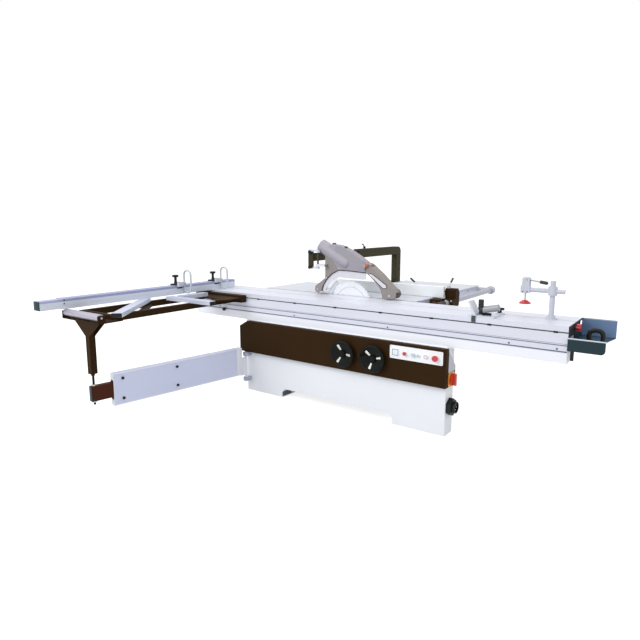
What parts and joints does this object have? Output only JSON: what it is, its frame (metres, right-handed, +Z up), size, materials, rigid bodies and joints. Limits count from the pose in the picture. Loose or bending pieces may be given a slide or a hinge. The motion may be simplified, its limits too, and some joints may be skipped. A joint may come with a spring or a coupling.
{
  "type": "sliding table saw",
  "caption": "Floor-standing panel saw with a long sliding carriage, outrigger and swing arm, tilting blade unit, overhead guard, crosscut fence and rip fence.",
  "frame": {"origin": "on the floor, midway between the anchor holes of the stand", "axes": "+X along the carriage travel towards the operator, +Y from the carriage to the rip fence with the blade plane at Y = 0, +Z up"},
  "size_m": [3.405, 3.448, 1.3015],
  "materials": {
    "white_enamel": "smooth enamel",
    "brown_enamel": "satin enamel",
    "anodised_aluminium": "satin anodised",
    "machined_steel": "turned and ground",
    "blade_steel": "ground",
    "grey_plastic": "moulded, fine texture",
    "motor_grey": "painted casting",
    "blue_enamel": "smooth enamel",
    "black_plastic": "moulded",
    "red_plastic": "moulded, glossy",
    "pale_plastic": "moulded, glossy",
    "belt_rubber": "cloth-faced"
  },
  "bodies": {
    "stand": {"base_frame": "white_enamel", "fascia_panel": "brown_enamel", "control_plate": "grey_plastic", "inlet_box": "black_plastic", "table_main": "anodised_aluminium", "table_extension": "anodised_aluminium", "edge_scale": "anodised_aluminium", "rail_bar": "machined_steel", "rail_brackets": "brown_enamel", "carriage_beam": "anodised_aluminium", "end_tray": "blue_enamel", "guard_post": "brown_enamel", "trunnions": "machined_steel"},
    "carriage": {"carriage_profile": "anodised_aluminium", "carriage_end_caps": "black_plastic", "push_handle": "black_plastic", "outrigger_frame": "brown_enamel", "outrigger_slats": "anodised_aluminium", "clamp_post": "white_enamel"},
    "cage": {"roller_cage": "black_plastic"},
    "lock_knob": {"carriage_lock_knob": "red_plastic"},
    "roller": {"outrigger_roller": "anodised_aluminium"},
    "fence": {"fence_profile": "anodised_aluminium"},
    "fence_end": {"fence_extension": "anodised_aluminium"},
    "stop_1": {"stop_1_slider": "anodised_aluminium"},
    "stop_1_flip": {"stop_1_paddle": "anodised_aluminium"},
    "stop_1_screw": {"stop_1_knob": "black_plastic"},
    "stop_2": {"stop_2_slider": "anodised_aluminium"},
    "stop_2_flip": {"stop_2_paddle": "anodised_aluminium"},
    "stop_2_screw": {"stop_2_knob": "black_plastic"},
    "clamp": {"clamp_arm": "white_enamel"},
    "clamp_handle": {"clamp_lever": "black_plastic"},
    "clamp_plunger": {"clamp_ram": "red_plastic"},
    "shoe": {"edge_shoe": "anodised_aluminium"},
    "shoe_screw": {"shoe_knob": "black_plastic"},
    "arm": {"swing_arm": "white_enamel"},
    "arm_tip": {"inner_arm": "brown_enamel"},
    "tilt_unit": {"tilt_frame": "machined_steel", "scoring_motor": "motor_grey"},
    "lift_unit": {"lift_slide": "machined_steel", "motor": "motor_grey", "drive_belt": "belt_rubber", "riving_knife": "machined_steel"},
    "spindle": {"arbor": "machined_steel", "saw_blade": "blade_steel"},
    "motor_drive": {"motor_pulley": "machined_steel"},
    "scoring": {"scoring_blade": "blade_steel"},
    "tilt_wheel": {"handwheel_tilt": "black_plastic"},
    "lift_wheel": {"handwheel_lift": "black_plastic"},
    "boom": {"guard_boom": "brown_enamel"},
    "hood": {"guard_hood": "grey_plastic"},
    "flap": {"guard_flap": "grey_plastic"},
    "rip": {"rip_carrier": "brown_enamel"},
    "rip_rule": {"rip_fence": "anodised_aluminium"},
    "rip_lever": {"rip_lock_lever": "black_plastic"},
    "rule_lever": {"fence_clamp_lever": "black_plastic"},
    "estop_head": {"emergency_stop": "red_plastic"},
    "stop_head": {"stop_button": "red_plastic"},
    "start_head": {"start_button": "pale_plastic"},
    "switch_knob": {"main_switch": "red_plastic"}
  },
  "joints": [
    {"name": "carriage_slide", "type": "slide", "parent": "stand", "child": "carriage", "axis": [1, 0, 0], "range_m": [-1.5, 1.5]},
    {"name": "cage_slide", "type": "slide", "parent": "stand", "child": "cage", "axis": [1, 0, 0], "range_m": [-0.76, 0.76]},
    {"name": "lock_knob_turn", "type": "hinge", "parent": "carriage", "child": "lock_knob", "pos_m": [1.67, -0.249, 0.818], "axis": [1, 0, 0], "range_deg": [-180, 180]},
    {"name": "roller_spin", "type": "hinge", "parent": "carriage", "child": "roller", "pos_m": [-1.156, -1.758, 0.82], "axis": [1, 0, 0], "continuous": true},
    {"name": "fence_pivot", "type": "hinge", "parent": "carriage", "child": "fence", "pos_m": [-1.3975, -0.48, 0.845], "axis": [0, 0, 1], "range_deg": [-45, 45]},
    {"name": "fence_extend", "type": "slide", "parent": "fence", "child": "fence_end", "axis": [0, -1, 0], "range_m": [0, 0.5]},
    {"name": "stop_1_slide", "type": "slide", "parent": "fence", "child": "stop_1", "axis": [0, 1, 0], "range_m": [-0.6, 0.1]},
    {"name": "stop_1_flip", "type": "hinge", "parent": "stop_1", "child": "stop_1_flip", "pos_m": [-1.34, -0.729, 0.935], "axis": [0, 1, 0], "range_deg": [-90, 0]},
    {"name": "stop_1_knob_turn", "type": "hinge", "parent": "stop_1", "child": "stop_1_screw", "pos_m": [-1.3975, -0.77, 0.98], "axis": [0, 0, 1], "range_deg": [-180, 180]},
    {"name": "stop_2_slide", "type": "slide", "parent": "fence", "child": "stop_2", "axis": [0, 1, 0], "range_m": [-0.1, 0.12]},
    {"name": "stop_2_flip", "type": "hinge", "parent": "stop_2", "child": "stop_2_flip", "pos_m": [-1.34, -0.305, 0.935], "axis": [0, 1, 0], "range_deg": [-90, 0]},
    {"name": "stop_2_knob_turn", "type": "hinge", "parent": "stop_2", "child": "stop_2_screw", "pos_m": [-1.3975, -0.346, 0.98], "axis": [0, 0, 1], "range_deg": [-180, 180]},
    {"name": "clamp_swivel", "type": "hinge", "parent": "carriage", "child": "clamp", "pos_m": [1.497, -0.19, 1.021], "axis": [0, 0, 1], "range_deg": [-30, 90]},
    {"name": "clamp_press", "type": "hinge", "parent": "clamp", "child": "clamp_handle", "pos_m": [1.34, -0.19, 1.085], "axis": [0, 1, 0], "range_deg": [-60, 0]},
    {"name": "clamp_ram_slide", "type": "slide", "parent": "clamp", "child": "clamp_plunger", "axis": [0, 0, 1], "range_m": [-0.061, 0.001]},
    {"name": "shoe_slide", "type": "slide", "parent": "carriage", "child": "shoe", "axis": [1, 0, 0], "range_m": [-0.8, 0.08]},
    {"name": "shoe_knob_turn", "type": "hinge", "parent": "shoe", "child": "shoe_screw", "pos_m": [1.176, -0.19, 0.87], "axis": [0, 0, 1], "range_deg": [-180, 180]},
    {"name": "arm_swing", "type": "hinge", "parent": "stand", "child": "arm", "pos_m": [-0.889, -0.462, 0.22], "axis": [0, 0, 1], "range_deg": [-50, 50]},
    {"name": "arm_extend", "type": "slide", "parent": "arm", "child": "arm_tip", "axis": [-0.148, -0.989, 0], "range_m": [-0.02, 0.55]},
    {"name": "saw_tilt", "type": "hinge", "parent": "stand", "child": "tilt_unit", "pos_m": [0, 0, 0.845], "axis": [1, 0, 0], "range_deg": [-45, 0]},
    {"name": "saw_lift", "type": "slide", "parent": "tilt_unit", "child": "lift_unit", "axis": [0, 0, 1], "range_m": [-0.13, 0]},
    {"name": "blade_spin", "type": "hinge", "parent": "lift_unit", "child": "spindle", "pos_m": [-0.117, 0, 0.77], "axis": [0, 1, 0], "continuous": true},
    {"name": "motor_spin", "type": "hinge", "parent": "lift_unit", "child": "motor_drive", "pos_m": [0.185, 0.24, 0.56], "axis": [0, 1, 0], "continuous": true},
    {"name": "scoring_spin", "type": "hinge", "parent": "tilt_unit", "child": "scoring", "pos_m": [0.16, 0.06, 0.788], "axis": [0, 1, 0], "continuous": true},
    {"name": "tilt_wheel_turn", "type": "hinge", "parent": "stand", "child": "tilt_wheel", "pos_m": [0.122, -0.43, 0.479], "axis": [0, 1, 0], "range_deg": [-365, 5]},
    {"name": "lift_wheel_turn", "type": "hinge", "parent": "stand", "child": "lift_wheel", "pos_m": [0.381, -0.43, 0.479], "axis": [0, 1, 0], "range_deg": [-365, 5]},
    {"name": "guard_boom_slide", "type": "slide", "parent": "stand", "child": "boom", "axis": [0, 1, 0], "range_m": [0, 0.25]},
    {"name": "guard_lift", "type": "slide", "parent": "boom", "child": "hood", "axis": [0, 0, 1], "range_m": [0, 0.1]},
    {"name": "guard_flap_hinge", "type": "hinge", "parent": "hood", "child": "flap", "pos_m": [0.043, 0, 1.1], "axis": [0, 1, 0], "range_deg": [-25, 0]},
    {"name": "rip_slide", "type": "slide", "parent": "stand", "child": "rip", "axis": [0, 1, 0], "range_m": [-0.165, 0.85]},
    {"name": "rip_fence_slide", "type": "slide", "parent": "rip", "child": "rip_rule", "axis": [1, 0, 0], "range_m": [-0.3, 0.1]},
    {"name": "rip_lock_turn", "type": "hinge", "parent": "rip", "child": "rip_lever", "pos_m": [0.58, 0.38, 0.921], "axis": [0, 0, 1], "range_deg": [-90, 0]},
    {"name": "fence_clamp_turn", "type": "hinge", "parent": "rip", "child": "rule_lever", "pos_m": [0.315, 0.381, 0.908], "axis": [0, 0, 1], "range_deg": [-90, 0]},
    {"name": "estop_push", "type": "slide", "parent": "stand", "child": "estop_head", "axis": [0, 1, 0], "range_m": [0, 0.004], "stiffness_N_per_m": 900},
    {"name": "stop_push", "type": "slide", "parent": "stand", "child": "stop_head", "axis": [0, 1, 0], "range_m": [0, 0.003], "stiffness_N_per_m": 900},
    {"name": "start_push", "type": "slide", "parent": "stand", "child": "start_head", "axis": [0, 1, 0], "range_m": [0, 0.003], "stiffness_N_per_m": 900},
    {"name": "main_switch_turn", "type": "hinge", "parent": "stand", "child": "switch_knob", "pos_m": [0.94, -0.367, 0.399], "axis": [1, 0, 0], "range_deg": [0, 90]}
  ],
  "couplings": [
    {"joint": "cage_slide", "follows": "carriage_slide", "ratio": 0.5},
    {"joint": "arm_swing", "follows": "carriage_slide", "rad_per_m": 0.569},
    {"joint": "clamp_ram_slide", "follows": "clamp_press", "m_per_rad": 0.0573},
    {"joint": "motor_spin", "follows": "blade_spin", "ratio": 0.72368},
    {"joint": "tilt_wheel_turn", "follows": "saw_tilt", "ratio": 8},
    {"joint": "lift_wheel_turn", "follows": "saw_lift", "rad_per_m": 46.5}
  ]
}
